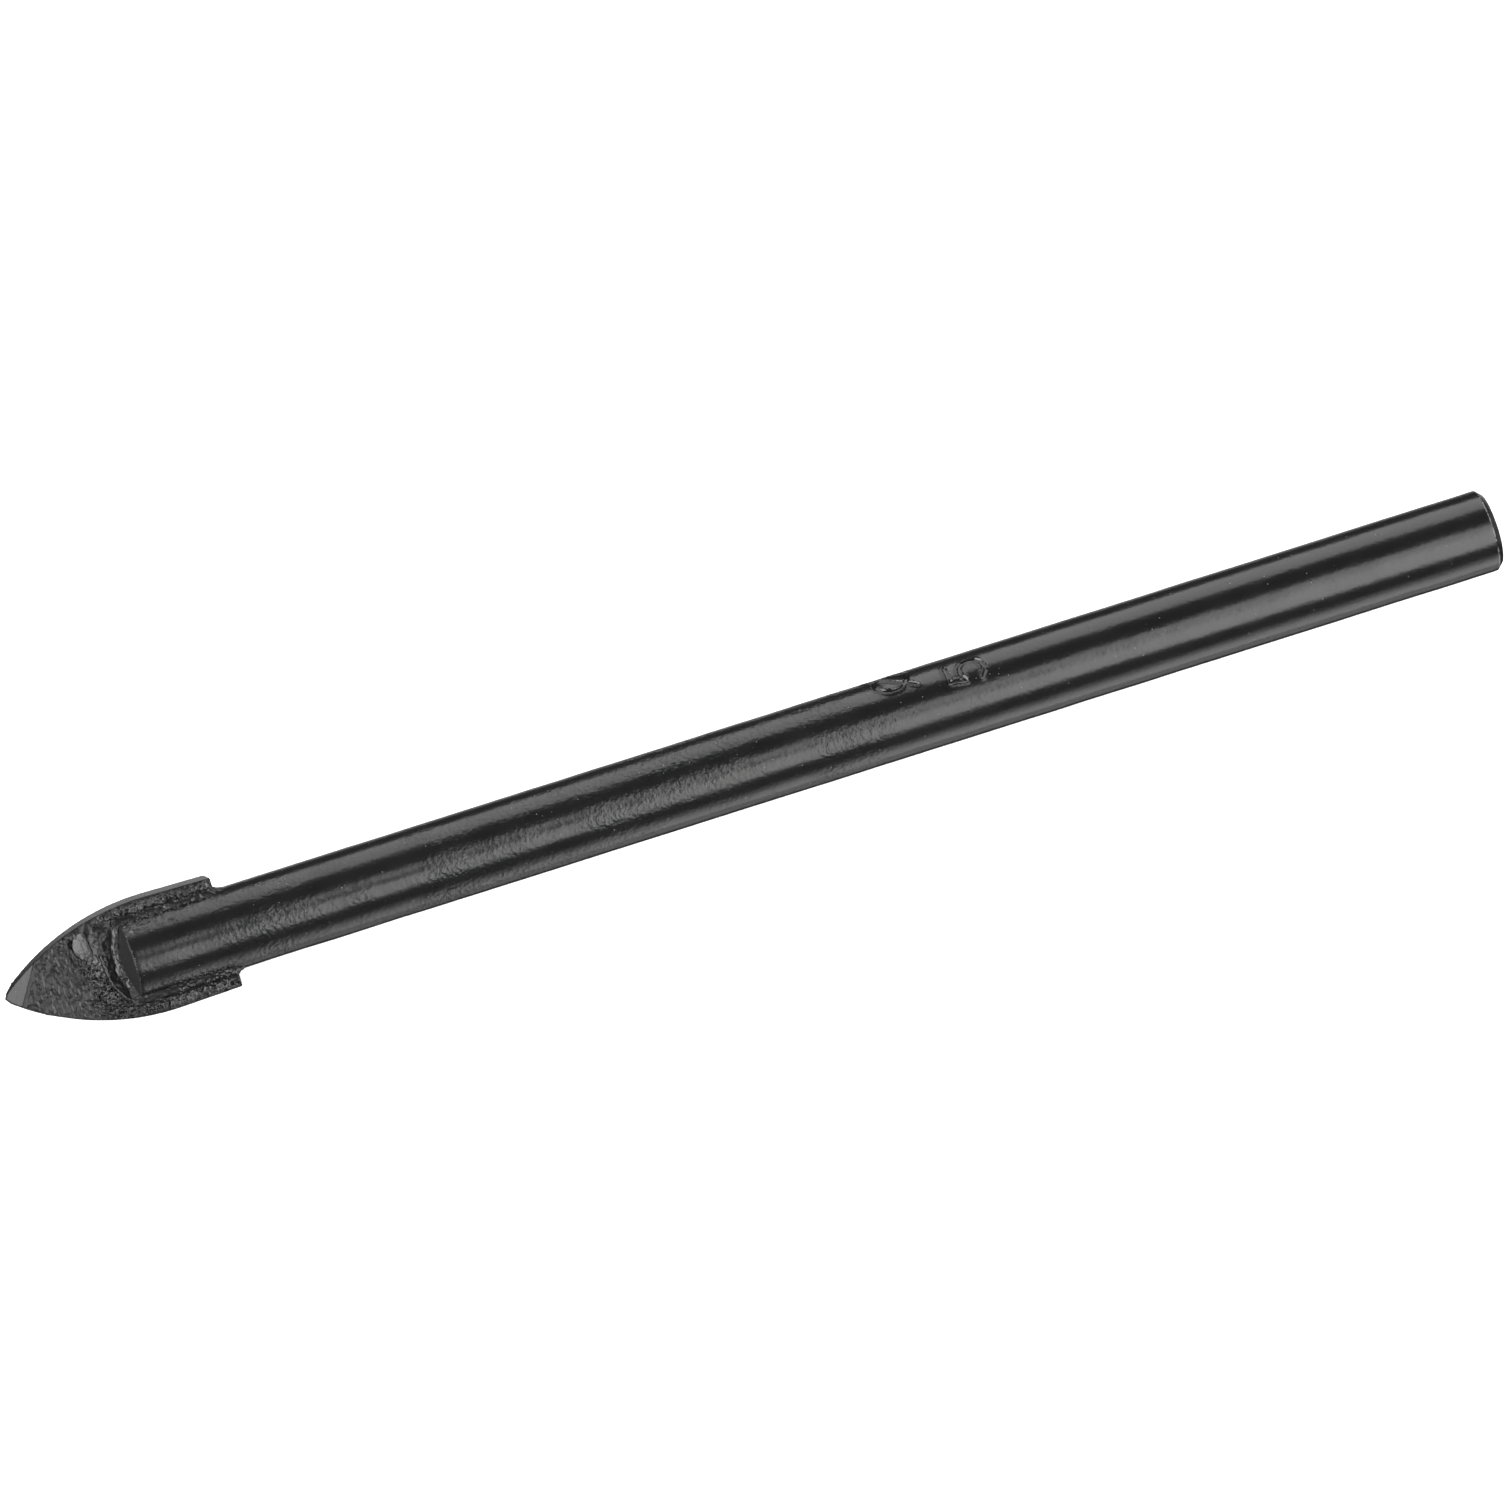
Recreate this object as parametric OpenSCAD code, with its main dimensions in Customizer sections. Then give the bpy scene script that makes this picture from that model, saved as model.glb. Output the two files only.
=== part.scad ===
// Glass and tile drill bit: a spear-point carbide plate brazed into the slotted end of a round steel shank.
// Each piece is drawn upright, with the point at the origin, the axis along +Z and the plate across X.
// It is then laid down as it comes to rest: the axis along X, the point at -X, one wing on the floor.

/* [Shank] */
// Diameter of the round shank
shank_d = 3.5; // [2.6:0.1:4]
// Length of the whole bit, from the point to the butt
bit_length = 66; // [40:1:90]
// Distance from the point back to the rim of the shank's coned front
rim_setback = 5.4; // [4.6:0.1:7]
// How far the cheeks draw in at that rim, where they close on the plate
cheek_draw = 0.02; // [0.01:0.01:0.1]
// Full angle of the cone turned on the shank's front
cone_angle = 138; // [100:1:160]
// Chamfer at the butt
butt_chamfer = 0.3; // [0.1:0.05:0.6]

/* [Carbide tip] */
// Diameter of the hole that the bit cuts, across the two wings
cutting_d = 5; // [4.6:0.1:6.5]
// Length of the plate, from the point to its rear face
plate_length = 9.65; // [8.5:0.05:14]
// Thickness of the plate
plate_thickness = 1.2; // [0.8:0.05:1.6]
// Radius of the curved cutting edges
edge_radius = 10.5; // [8:0.5:14]
// Relief angle ground behind each cutting edge
relief_angle = 8; // [3:0.5:14]
// Angle at which the sides of the plate draw in towards the rear
back_taper = 1.5; // [0.5:0.25:2.5]
// Chamfer at the rear corners of the wings
wing_chamfer = 0.15; // [0.05:0.05:0.25]

/* [Point] */
// Length of the facets ground at the point, along the plate's centre line
facet_length = 0.85; // [0.5:0.05:1.4]
// Angle of a facet's back edge across the plate
facet_skew = 32; // [10:1:40]
// Thickness left between the two facets at the point
point_web = 0.2; // [0.1:0.05:0.5]

/* [Braze] */
// Clearance between the plate and the slot, which the braze fills
braze_gap = 0.06; // [0.03:0.01:0.15]
// Width of the bead in front of the coned rim
bead_width = 0.3; // [0.1:0.05:0.5]
// Height of the bead above the plate's face
bead_height = 0.25; // [0.1:0.05:0.4]
// Width of the fillet between each cheek and the plate
seam_width = 0.22; // [0.1:0.02:0.3]
// Height of the fillet behind each wing, up the plate's rear face
heel_rise = 0.45; // [0.2:0.05:0.6]
// Length of the fillet behind each wing, along the shank
heel_run = 0.5; // [0.2:0.05:1]
// How far the fillet behind each wing laps over the plate's two faces
heel_lap = 0.15; // [0.05:0.05:0.2]

/* [Hidden] */
$fn = 128;

shank_r = shank_d / 2;
rim_r = shank_r - cheek_draw;
wing_r = cutting_d / 2;
half_plate = plate_thickness / 2;
slot_width = plate_thickness + 2 * braze_gap;
slot_bottom = plate_length + braze_gap;
cone_height = rim_r / tan(cone_angle / 2);
// The cheeks draw in over the slot, in front of the plain shank
plain_start = slot_bottom + heel_run;
// How far the relief draws an edge in, across the plate's thickness
relief_depth = plate_thickness * tan(relief_angle);
bead_front = rim_setback - bead_width;
// Where the curved edges end and the sides begin: the two edges then cross at the point
arc_offset = edge_radius - wing_r;
arc_end = sqrt(pow(edge_radius - relief_depth / 2, 2) - pow(arc_offset, 2));
// The straight sides leave the arcs a little behind the widest place
side_start = edge_radius * tan(back_taper);
// Half the plate's width at its rear face
rear_r = wing_r - (plate_length - arc_end) * tan(back_taper);
// The fillet behind a wing stays on the wing's rear face
heel_rise_fit = min(heel_rise, rear_r - wing_chamfer - shank_r);
// Slope of a point facet from the plate's face down to the web
facet_slope = atan((half_plate - point_web / 2) / (facet_length * cos(facet_skew)));
// Roll at which the lower wing's corner is level with the underside of the shank
wing_corner_r = norm([wing_r - relief_depth, half_plate]);
wing_corner_angle = atan2(half_plate, wing_r - relief_depth);
rest_roll = asin(min(1, shank_r / wing_corner_r)) - wing_corner_angle;
// Size of a cutting block, larger than the plate every way
block = 2 * plate_length;
// How hollow the braze fillets are: radius over width
fillet_hollow = 1.5;

shank_colour = "#2f2f31";
tip_colour = "#28282a";
braze_colour = "#3a3937";

// Lays an upright piece down at rest
module laid_down() {
  translate([-bit_length / 2, 0, shank_r])
    rotate([rest_roll, 0, 0])
      rotate([90, 0, 90])
        children();
}

// Two copies, half a turn apart about the axis
module both_sides() {
  children();
  rotate([0, 0, 180]) children();
}

// The turned bar before its slot is sawn. Its seam lies level when the bit is at rest.
module turned_bar() {
  rotate([0, 0, -rest_roll])
    rotate_extrude()
      polygon([
        [0, rim_setback - cone_height],
        [rim_r, rim_setback],
        [shank_r, plain_start],
        [shank_r, bit_length - butt_chamfer],
        [shank_r - butt_chamfer, bit_length],
        [0, bit_length],
      ]);
}

module slot() {
  slot_front = rim_setback - 2 * cone_height;
  translate([-shank_d, -slot_width / 2, slot_front])
    cube([2 * shank_d, slot_width, slot_bottom - slot_front]);
}

// The curved cutting edge on the +X side: full size on the leading face, drawn in by the relief behind it
module curved_edge() {
  translate([-arc_offset, -plate_thickness, arc_end])
    rotate([-90, 0, 0])
      cylinder(
        h = 2 * plate_thickness,
        r1 = edge_radius + relief_depth / 2,
        r2 = edge_radius - relief_depth * 3 / 2
      );
}

// Everything inside the relieved side on the +X side, which tapers from the widest place to the rear
module straight_side() {
  translate([wing_r, -half_plate, arc_end])
    rotate([0, 0, relief_angle])
      rotate([0, -back_taper, 0])
        translate([-block, -block / 2, side_start])
          cube(block);
}

// The plate before its edges are ground, with its rear corners taken off
module plate_blank() {
  blank_r = wing_r + wing_chamfer;
  corner_z = plate_length - 2 * wing_chamfer - (wing_r - rear_r);
  rotate([90, 0, 0])
    linear_extrude(height = plate_thickness, center = true)
      polygon([
        [-blank_r, -plate_thickness],
        [blank_r, -plate_thickness],
        [blank_r, corner_z],
        [rear_r - wing_chamfer, plate_length],
        [wing_chamfer - rear_r, plate_length],
        [-blank_r, corner_z],
      ]);
}

module ground_edge() {
  curved_edge();
  straight_side();
}

// What is ground away above one point facet
module facet_cut() {
  translate([0, half_plate, facet_length])
    rotate([0, -facet_skew, 0])
      rotate([-facet_slope, 0, 0])
        translate([-block / 2, 0, -block / 2])
          cube(block);
}

module spear_plate() {
  difference() {
    intersection() {
      plate_blank();
      ground_edge();
      rotate([0, 0, 180]) ground_edge();
    }
    both_sides() facet_cut();
  }
}

// Bead at the foot of the coned front, on both faces of the plate
module front_bead() {
  intersection() {
    rotate_extrude()
      polygon([
        [0, bead_front - cone_height],
        [rim_r, bead_front],
        [rim_r, rim_setback],
        [0, rim_setback],
      ]);
    cube([2 * shank_d, plate_thickness + 2 * bead_height, 2 * plate_length], center = true);
  }
}

// Centre of the circle through two points, on the left going from a to b
function hollow_centre(a, b, radius) =
  (a + b) / 2 + [a.y - b.y, b.x - a.x] / norm(b - a) * sqrt(pow(radius, 2) - pow(norm(b - a) / 2, 2));

// A corner filled between two legs, with a hollow face from a to b
module hollow_fillet(corner, a, b) {
  radius = fillet_hollow * norm(b - a);
  difference() {
    polygon([corner, a, b]);
    translate(hollow_centre(b, a, radius)) circle(r = radius);
  }
}

// Fillet along one cheek, from the bead to the rear of the plate, on the +X side of the +Y face.
// Its edges start under the surfaces of the plate and the cheek, which then trim it.
module cheek_seam() {
  seam_y = half_plate - braze_gap;
  corner_angle = asin(half_plate / rim_r);
  corner_x = rim_r * cos(corner_angle);
  cheek_angle = corner_angle + seam_width / rim_r * 180 / PI;
  translate([0, 0, bead_front])
    linear_extrude(height = slot_bottom - bead_front)
      hollow_fillet(
        [corner_x - seam_width, seam_y],
        [corner_x + seam_width, seam_y],
        (rim_r - braze_gap) * [cos(cheek_angle), sin(cheek_angle)]
      );
}

// Fillets behind the two wings
module wing_heels() {
  intersection() {
    rotate_extrude()
      hollow_fillet(
        [rim_r - braze_gap, plate_length - braze_gap],
        [shank_r + heel_rise_fit, plate_length - braze_gap],
        [rim_r - braze_gap, plate_length + heel_run]
      );
    cube([2 * cutting_d, plate_thickness + 2 * heel_lap, 4 * plate_length], center = true);
  }
}

module shank() {
  color(shank_colour)
    laid_down()
      difference() {
        turned_bar();
        slot();
      }
}

module carbide_tip() {
  color(tip_colour)
    laid_down()
      spear_plate();
}

module braze() {
  color(braze_colour)
    laid_down()
      difference() {
        union() {
          intersection() {
            turned_bar();
            slot();
          }
          front_bead();
          both_sides() {
            cheek_seam();
            mirror([1, 0, 0]) cheek_seam();
          }
          wing_heels();
        }
        spear_plate();
        difference() {
          turned_bar();
          slot();
        }
      }
}

shank();
carbide_tip();
braze();
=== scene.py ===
"""Looks of a glass and tile drill bit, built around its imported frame.

Each piece is modelled in millimetres, standing on its point: the axis runs up +Z from the point to the butt,
the wings of the plate lie along X, and +Y is the face that the camera sees. It is then laid down in metres.
"""
import math
import random
from contextlib import contextmanager

import bpy
import numpy as np
from mathutils import Euler, Matrix, Vector


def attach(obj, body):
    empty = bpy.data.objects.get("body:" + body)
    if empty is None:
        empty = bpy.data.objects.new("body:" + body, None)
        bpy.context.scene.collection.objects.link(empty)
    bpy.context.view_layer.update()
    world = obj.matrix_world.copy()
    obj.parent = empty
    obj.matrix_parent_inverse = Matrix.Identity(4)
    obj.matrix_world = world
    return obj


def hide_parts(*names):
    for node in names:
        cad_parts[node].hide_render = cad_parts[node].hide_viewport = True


# Sizes of the bit in millimetres, as in the part's source but for smaller breaks at the butt and the wings
SHANK_R = 1.75
BIT_LENGTH = 66.0
RIM_Z = 5.4
CHEEK_DRAW = 0.02
RIM_R = SHANK_R - CHEEK_DRAW
CONE_ANGLE = math.radians(138)
CONE_HEIGHT = RIM_R / math.tan(CONE_ANGLE / 2)
BUTT_CHAMFER = 0.26
WING_R = 2.5
PLATE_LENGTH = 9.65
HALF_PLATE = 0.6
EDGE_R = 10.5
BACK_TAPER = math.radians(1.5)
WING_CHAMFER = 0.05
FACET_LENGTH = 0.85
FACET_SKEW = math.radians(32)
POINT_WEB = 0.2
BRAZE_GAP = 0.06
SLOT_BOTTOM = PLATE_LENGTH + BRAZE_GAP
# The cheeks begin to draw in this far behind the slot
DRAW_RUN = 0.5
PLAIN_START = SLOT_BOTTOM + DRAW_RUN
RELIEF_ANGLE = math.radians(8)
RELIEF = 2 * HALF_PLATE * math.tan(RELIEF_ANGLE)
ARC_OFFSET = EDGE_R - WING_R
ARC_Z = math.sqrt((EDGE_R - RELIEF / 2) ** 2 - ARC_OFFSET ** 2)
SIDE_Z = ARC_Z + EDGE_R * math.tan(BACK_TAPER)
CORNER_R = math.hypot(WING_R - RELIEF, HALF_PLATE)
REST_ROLL = math.asin(SHANK_R / CORNER_R) - math.atan2(HALF_PLATE, WING_R - RELIEF)

MM = 0.001
LAID_TURN = Euler((REST_ROLL, 0, 0)).to_matrix() @ Euler((math.pi / 2, 0, math.pi / 2)).to_matrix()
LAID_PLACE = Vector((-BIT_LENGTH / 2, 0, SHANK_R)) * MM
# Vertex weights are rounded to this many steps
WEIGHT_STEPS = 64

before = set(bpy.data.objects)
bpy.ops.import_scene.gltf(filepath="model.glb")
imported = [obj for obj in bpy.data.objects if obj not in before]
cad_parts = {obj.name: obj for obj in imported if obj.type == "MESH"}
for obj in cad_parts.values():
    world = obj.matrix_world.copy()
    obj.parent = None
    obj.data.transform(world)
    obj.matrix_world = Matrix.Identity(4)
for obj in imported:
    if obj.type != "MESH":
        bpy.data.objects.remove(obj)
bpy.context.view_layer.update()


# Modelling steps

def added(name):
    """Names the object that an operator has just added."""
    made = bpy.context.active_object
    made.name = made.data.name = name
    return made


def only(*pieces):
    """Selects these pieces alone, the first one active."""
    bpy.ops.object.select_all(action="DESELECT")
    for piece in pieces:
        piece.select_set(True)
    bpy.context.view_layer.objects.active = pieces[0]


@contextmanager
def editing(piece, picked=None, kind="FACE"):
    """Edit mode on one piece, with everything picked, or the elements that a true/false list names."""
    only(piece)
    if picked is not None:
        mesh = piece.data
        for part in (mesh.vertices, mesh.edges, mesh.polygons):
            part.foreach_set("select", np.zeros(len(part), bool))
        chosen = {"FACE": mesh.polygons, "EDGE": mesh.edges, "VERT": mesh.vertices}[kind]
        chosen.foreach_set("select", np.asarray(picked, bool))
    bpy.ops.object.mode_set(mode="EDIT")
    bpy.ops.mesh.select_mode(type=kind)
    if picked is None:
        bpy.ops.mesh.select_all(action="SELECT")
    yield
    bpy.ops.object.mode_set(mode="OBJECT")


def face_outwards():
    """In edit mode: turns all faces to point outwards."""
    bpy.ops.mesh.select_all(action="SELECT")
    bpy.ops.mesh.normals_make_consistent(inside=False)


def settle():
    """Puts the selected piece's place, turn and size into its mesh."""
    bpy.ops.object.transform_apply(location=True, rotation=True, scale=True)


def apply_modifier(piece, kind, **settings):
    """Adds a modifier, sets it up and applies it."""
    only(piece)
    modifier = piece.modifiers.new(kind.lower(), kind)
    for name, value in settings.items():
        setattr(modifier, name, value)
    bpy.ops.object.modifier_apply(modifier=modifier.name)


def remove(*pieces):
    for piece in pieces:
        bpy.data.objects.remove(piece)


def joined(name, pieces):
    bpy.context.view_layer.update()
    only(*pieces)
    bpy.ops.object.join()
    return added(name)


def copied(master, place, size, turn=(0, 0, 0)):
    """A copy of a piece at another place and size, with its own mesh."""
    piece = master.copy()
    piece.data = master.data.copy()
    piece.location = place
    piece.scale = size
    piece.rotation_euler = turn
    bpy.context.collection.objects.link(piece)
    return piece


def block(name, size, place=(0, 0, 0)):
    """A cuboid, for cutting or filling."""
    bpy.ops.mesh.primitive_cube_add(size=1, location=place)
    made = added(name)
    made.scale = size
    settle()
    return made


def cut_away(piece, tool):
    """Cuts the tool's shape out of a piece and puts the tool away."""
    apply_modifier(piece, "BOOLEAN", object=tool, operation="DIFFERENCE", solver="EXACT")
    remove(tool)


def drawn_line(name, points, closed=False):
    """A line of edges through these points, drawn by extruding one vertex."""
    bpy.ops.mesh.primitive_plane_add(size=1, location=(0, 0, 0))
    line = added(name)
    with editing(line, kind="VERT"):
        bpy.ops.mesh.merge(type="CENTER")
        bpy.ops.transform.translate(value=points[0])
        for start, end in zip(points, points[1:]):
            step = Vector(end) - Vector(start)
            bpy.ops.mesh.extrude_region_move(TRANSFORM_OT_translate={"value": step})
        if closed:
            bpy.ops.mesh.select_all(action="SELECT")
            bpy.ops.mesh.edge_face_add()
    return line


def coordinates(piece):
    """The piece's vertices as an array of x, y, z rows."""
    flat = np.empty(3 * len(piece.data.vertices))
    piece.data.vertices.foreach_get("co", flat)
    return flat.reshape(-1, 3)


def centres(piece):
    """The middle of each face of the piece, as x, y, z rows."""
    flat = np.empty(3 * len(piece.data.polygons))
    piece.data.polygons.foreach_get("center", flat)
    return flat.reshape(-1, 3)


def edge_ends(piece):
    """The two ends of each edge of the piece, as x, y, z rows."""
    return np.array([[piece.data.vertices[i].co for i in edge.vertices] for edge in piece.data.edges])


def fade_in(span, values):
    """0 before a span, 1 after it, and smooth over it."""
    low, high = span
    share = np.clip((values - low) / (high - low), 0, 1)
    return share * share * (3 - 2 * share)


def fade_out(span, values):
    """1 before a span, 0 after it, and smooth over it."""
    return 1 - fade_in(span, values)


def weighted(piece, name, weights):
    """A vertex group with these weights, rounded to steps."""
    group = piece.vertex_groups.new(name=name)
    levels = np.round(np.clip(weights, 0, 1) * WEIGHT_STEPS).astype(int)
    for level in range(1, WEIGHT_STEPS + 1):
        group.add(np.nonzero(levels == level)[0].tolist(), level / WEIGHT_STEPS, "REPLACE")
    return name


def group_weights(piece, name):
    """The weight of each vertex in a group, or 0 where it isn't in it."""
    index = piece.vertex_groups[name].index
    return [next((g.weight for g in v.groups if g.group == index), 0.0) for v in piece.data.vertices]


def noted(piece, name, values):
    """Keeps a number for each vertex, for the finish to read."""
    note = piece.data.attributes.new(name, "FLOAT", "POINT")
    note.data.foreach_set("value", values)


def clouds(name, size, depth, hard=False):
    texture = bpy.data.textures.new(name, "CLOUDS")
    texture.noise_scale = size
    texture.noise_depth = depth
    texture.noise_type = "HARD_NOISE" if hard else "SOFT_NOISE"
    return texture


def grains(name, size):
    texture = bpy.data.textures.new(name, "VORONOI")
    texture.noise_scale = size
    texture.distance_metric = "DISTANCE"
    return texture


def raised(piece, group, height):
    """Moves the vertices of a group out by a height, or in where it is negative."""
    apply_modifier(piece, "DISPLACE", strength=height, mid_level=0, vertex_group=group)


def roughen(piece, texture, height, group="", middle=0.5, stretcher=None):
    """Moves the surface in and out by a texture, which an empty may stretch and turn."""
    apply_modifier(
        piece, "DISPLACE", texture=texture, strength=height, mid_level=middle, vertex_group=group,
        texture_coords="OBJECT" if stretcher else "LOCAL", texture_coords_object=stretcher,
    )


def texture_stretcher(scale, turn):
    """An empty that stretches and turns a texture."""
    bpy.ops.object.empty_add(location=(0, 0, 0), rotation=turn)
    bpy.context.active_object.scale = scale
    bpy.context.view_layer.update()
    return bpy.context.active_object


def tube(name, points, radii):
    """A round rope along a path, thicker or thinner from point to point."""
    bpy.ops.curve.primitive_nurbs_path_add(location=(0, 0, 0))
    rope = added(name)
    path = rope.data
    path.splines.clear()
    spline = path.splines.new("POLY")
    spline.points.add(len(points) - 1)
    for knot, place, radius in zip(spline.points, points, radii):
        knot.co = (*place, 1)
        knot.radius = radius
    path.bevel_depth = 1
    path.bevel_resolution = 3
    path.use_fill_caps = True
    only(rope)
    bpy.ops.object.convert(target="MESH")
    return added(name)


def lump(name, place, size, turn=(0, 0, 0), rings=2):
    """A rounded blob of filler."""
    bpy.ops.mesh.primitive_ico_sphere_add(subdivisions=rings, radius=1, location=place, rotation=turn)
    blob = added(name)
    blob.scale = size
    settle()
    return blob


def turned_half_way(piece, name):
    """A copy of a piece on the other face of the plate."""
    only(piece)
    bpy.ops.object.duplicate()
    copy = added(name)
    copy.rotation_euler = (0, 0, math.pi)
    settle()
    return copy


def finished(piece, node, material):
    """Lays a piece down in metres, gives it its finish and hands it to the frame."""
    only(piece)
    piece.matrix_world = Matrix.LocRotScale(LAID_PLACE, LAID_TURN, Vector((MM, MM, MM)))
    settle()
    piece.vertex_groups.clear()
    piece.data.materials.clear()
    piece.data.materials.append(material)
    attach(piece, "root")
    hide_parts(node)


# Shank

SIDES = 144
RING_STEP = 0.16
# Cuts from the axis to the rim of the cone, and to the edge of the butt
FACE_CUTS = 20
RIM_BREAK = 0.03
BUTT_BREAK = 0.04
BREAK_STEPS = 3
# How far off a corner or an edge may be when it is picked by its place
SLACK = 0.1
# Vertices this near to each other are one
MERGE_REACH = 0.0005
SMOOTH_ANGLE = math.radians(40)
# The cone's finish fades out over this height above the cone
CONE_SPAN = (0.004, 0.028)
# The patch that is meshed finely for the size mark: heights, then turns in degrees
MARK_Z = (38.0, 44.0)
MARK_TURN = (4, 94)
MARK_CUTS = 3
# Strokes of the size mark, each point as shares of a character's width and height
DIAMETER_SIGN = [
    [(0.5 + 0.44 * math.cos(a), 0.5 + 0.36 * math.sin(a)) for a in np.linspace(0, 2 * math.pi, 41)],
    [(s, 0.5 + (s - 0.5) * 1.1) for s in np.linspace(0.04, 0.96, 21)],
]
FIVE = [[
    (0.9, 1.0), (0.55, 1.0), (0.2, 1.0), (0.16, 0.8), (0.12, 0.57), (0.3, 0.64), (0.5, 0.66), (0.7, 0.62),
    (0.86, 0.5), (0.92, 0.34), (0.86, 0.16), (0.7, 0.04), (0.5, 0.0), (0.28, 0.03), (0.08, 0.14),
]]
# Each character: its strokes, the turns in degrees where it starts and ends, the heights of its foot and top
MARKS = [
    (DIAMETER_SIGN, (38, 84), (40.5, 38.5)),
    (FIVE, (18, 56), (43.4, 41.8)),
]
# How the stamp moves the metal: the reach from a stroke, the height at the stroke, and how it falls off
STAMPED = {
    "raised metal": (0.26, 0.035, "SMOOTH"),
    "groove": (0.12, -0.11, "ROOT"),
}


def stroke_lines():
    """The strokes of the size mark, laid on the round of the shank."""
    lines = []
    for strokes, (turn_from, turn_to), (foot, top) in MARKS:
        for stroke in strokes:
            points = []
            for across, up in stroke:
                turn = math.radians(turn_from + across * (turn_to - turn_from))
                height = foot + up * (top - foot)
                points.append((SHANK_R * math.sin(turn), SHANK_R * math.cos(turn), height))
            lines.append(drawn_line("stroke", points))
    return joined("strokes", lines)


def break_corners(line, picked, size):
    """Takes the sharpness off the picked corners of a drawn line."""
    with editing(line, picked, "VERT"):
        bpy.ops.mesh.bevel(offset=size, segments=BREAK_STEPS, affect="VERTICES")


def shank_profile():
    """Half the outline of the bar, cut into short edges for turning."""
    profile = drawn_line("shank_bar", [
        (0, 0, RIM_Z - CONE_HEIGHT),
        (RIM_R, 0, RIM_Z),
        (SHANK_R, 0, PLAIN_START),
        (SHANK_R, 0, BIT_LENGTH - BUTT_CHAMFER),
        (SHANK_R - BUTT_CHAMFER, 0, BIT_LENGTH),
        (0, 0, BIT_LENGTH),
    ])
    break_corners(profile, np.isclose(coordinates(profile)[:, 2], RIM_Z), RIM_BREAK)
    x, _, z = coordinates(profile).T
    break_corners(profile, (z > BIT_LENGTH - BUTT_CHAMFER - SLACK) & (x > SLACK), BUTT_BREAK)
    across = np.ptp(edge_ends(profile)[:, :, 0], axis=1) > SHANK_R / 2
    with editing(profile, across, "EDGE"):
        bpy.ops.mesh.subdivide(number_cuts=FACE_CUTS)
    for low, high in ((RIM_Z, PLAIN_START), (PLAIN_START, BIT_LENGTH)):
        heights = edge_ends(profile)[:, :, 2]
        between = (heights.min(1) > low - SLACK) & (heights.max(1) < high + SLACK)
        long = between & (np.ptp(heights, axis=1) > SHANK_R)
        # Each part is cut again into as many parts
        cuts = round(math.sqrt((high - low) / RING_STEP)) - 1
        with editing(profile, long, "EDGE"):
            bpy.ops.mesh.subdivide(number_cuts=cuts)
            bpy.ops.mesh.subdivide(number_cuts=cuts)
    return profile


def make_shank():
    """The turned bar, slotted at the front and stamped with its size."""
    bar = shank_profile()
    with editing(bar):
        bpy.ops.mesh.spin(steps=SIDES, angle=2 * math.pi, center=(0, 0, 0), axis=(0, 0, 1))
        bpy.ops.mesh.select_all(action="SELECT")
        bpy.ops.mesh.remove_doubles(threshold=MERGE_REACH)
        bpy.ops.mesh.normals_make_consistent(inside=False)
    slot_size = (4 * SHANK_R, 2 * (HALF_PLATE + BRAZE_GAP), SLOT_BOTTOM)
    cut_away(bar, block("saw", slot_size, (0, 0, SLOT_BOTTOM / 2)))
    stamp_size(bar)
    places = coordinates(bar)
    cone_line = RIM_Z - CONE_HEIGHT + np.hypot(places[:, 0], places[:, 1]) * CONE_HEIGHT / RIM_R
    noted(bar, "cone", fade_out(CONE_SPAN, places[:, 2] - cone_line))
    roughen(bar, clouds("drawn bar waves", size=2.2, depth=1), height=0.022)
    roughen(bar, clouds("finish ripple", size=0.5, depth=2), height=0.006)
    only(bar)
    bpy.ops.object.shade_smooth_by_angle(angle=SMOOTH_ANGLE)
    return bar


def stamp_size(bar):
    """Presses the size mark into the shank: a groove along each stroke, with the metal raised beside it."""
    middle = centres(bar)
    turn = np.degrees(np.arctan2(middle[:, 0], middle[:, 1]))
    near = (turn > MARK_TURN[0]) & (turn < MARK_TURN[1])
    near &= (middle[:, 2] > MARK_Z[0]) & (middle[:, 2] < MARK_Z[1])
    with editing(bar, near):
        bpy.ops.mesh.subdivide(number_cuts=MARK_CUTS, quadcorner="INNERVERT")
    places = coordinates(bar)
    around = (places[:, 2] > MARK_Z[0]) & (places[:, 2] < MARK_Z[1]) & (places[:, 0] > 0)
    strokes = stroke_lines()
    for name, (reach, height, fall) in STAMPED.items():
        weighted(bar, name, around)
        apply_modifier(
            bar, "VERTEX_WEIGHT_PROXIMITY", vertex_group=name, target=strokes, proximity_mode="GEOMETRY",
            proximity_geometry={"EDGE"}, min_dist=reach, max_dist=0, falloff_type=fall,
        )
        raised(bar, name, height)
    remove(strokes)
    noted(bar, "mark", group_weights(bar, "raised metal"))


# Carbide plate

PLATE_VOXEL = 0.037
ARC_STEPS = 40
# Share of the relief that is ground at the point, what is added to it further back, and over which heights
POINT_RELIEF = 0.1
ADDED_RELIEF = 0.75
RELIEF_SPAN = (0.8, 7)
# A vertex counts as on a face when it is no deeper than this
FACE_SKIN = 0.06
# How high or deep each form on the face is
WING_STEP = 0.09
BANK_HEIGHT = 0.19
DIMPLE_DEPTH = 0.12
BURR_HEIGHT = 0.045
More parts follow.
